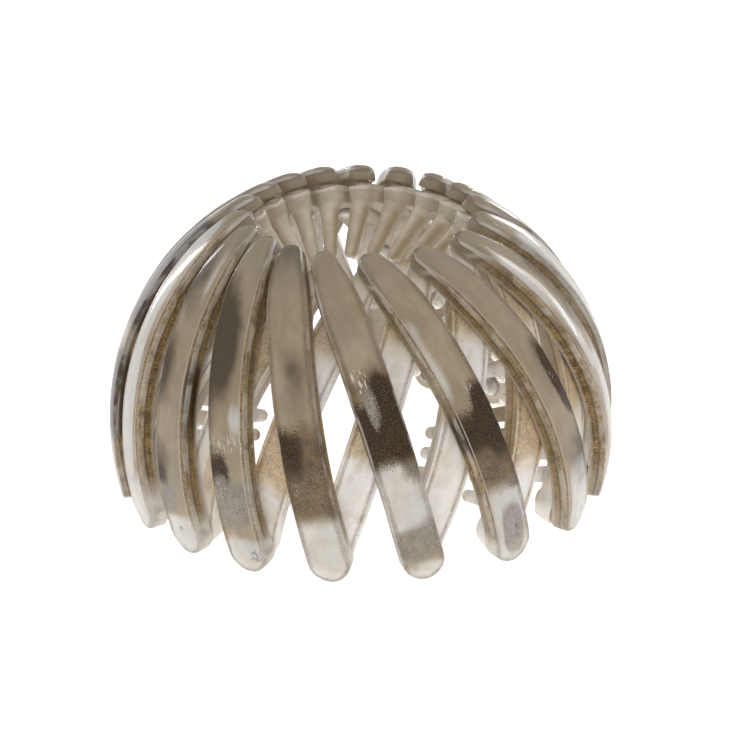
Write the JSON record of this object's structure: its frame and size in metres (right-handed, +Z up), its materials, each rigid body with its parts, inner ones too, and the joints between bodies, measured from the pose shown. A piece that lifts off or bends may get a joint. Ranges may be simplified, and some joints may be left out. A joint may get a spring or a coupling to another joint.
{
  "type": "ponytail ring",
  "caption": "Dome-shaped expanding hair ring of leaning outer arms pegged to toothed inner arms, open at the top and the bottom.",
  "frame": {"origin": "on the floor, under the middle of the ring", "axes": "+Z up through the top mouth, -Y towards the side that the picture shows, +X to its right"},
  "size_m": [0.0848, 0.0848, 0.0498],
  "materials": {
    "outer_plastic": "glossy translucent smoky taupe, marbled with dark brown and clear patches",
    "inner_plastic": "glossy translucent pale sand, marbled with light brown and nearly clear patches"
  },
  "bodies": {
    "root": {"outer_arm_01": "outer_plastic", "inner_arm_01": "inner_plastic", "outer_arm_02": "outer_plastic", "inner_arm_02": "inner_plastic", "outer_arm_03": "outer_plastic", "inner_arm_03": "inner_plastic", "outer_arm_04": "outer_plastic", "inner_arm_04": "inner_plastic", "outer_arm_05": "outer_plastic", "inner_arm_05": "inner_plastic", "outer_arm_06": "outer_plastic", "inner_arm_06": "inner_plastic", "outer_arm_07": "outer_plastic", "inner_arm_07": "inner_plastic", "outer_arm_08": "outer_plastic", "inner_arm_08": "inner_plastic", "outer_arm_09": "outer_plastic", "inner_arm_09": "inner_plastic", "outer_arm_10": "outer_plastic", "inner_arm_10": "inner_plastic", "outer_arm_11": "outer_plastic", "inner_arm_11": "inner_plastic", "outer_arm_12": "outer_plastic", "inner_arm_12": "inner_plastic", "outer_arm_13": "outer_plastic", "inner_arm_13": "inner_plastic", "outer_arm_14": "outer_plastic", "inner_arm_14": "inner_plastic", "outer_arm_15": "outer_plastic", "inner_arm_15": "inner_plastic", "outer_arm_16": "outer_plastic", "inner_arm_16": "inner_plastic", "outer_arm_17": "outer_plastic", "inner_arm_17": "inner_plastic", "outer_arm_18": "outer_plastic", "inner_arm_18": "inner_plastic"}
  },
  "joints": []
}
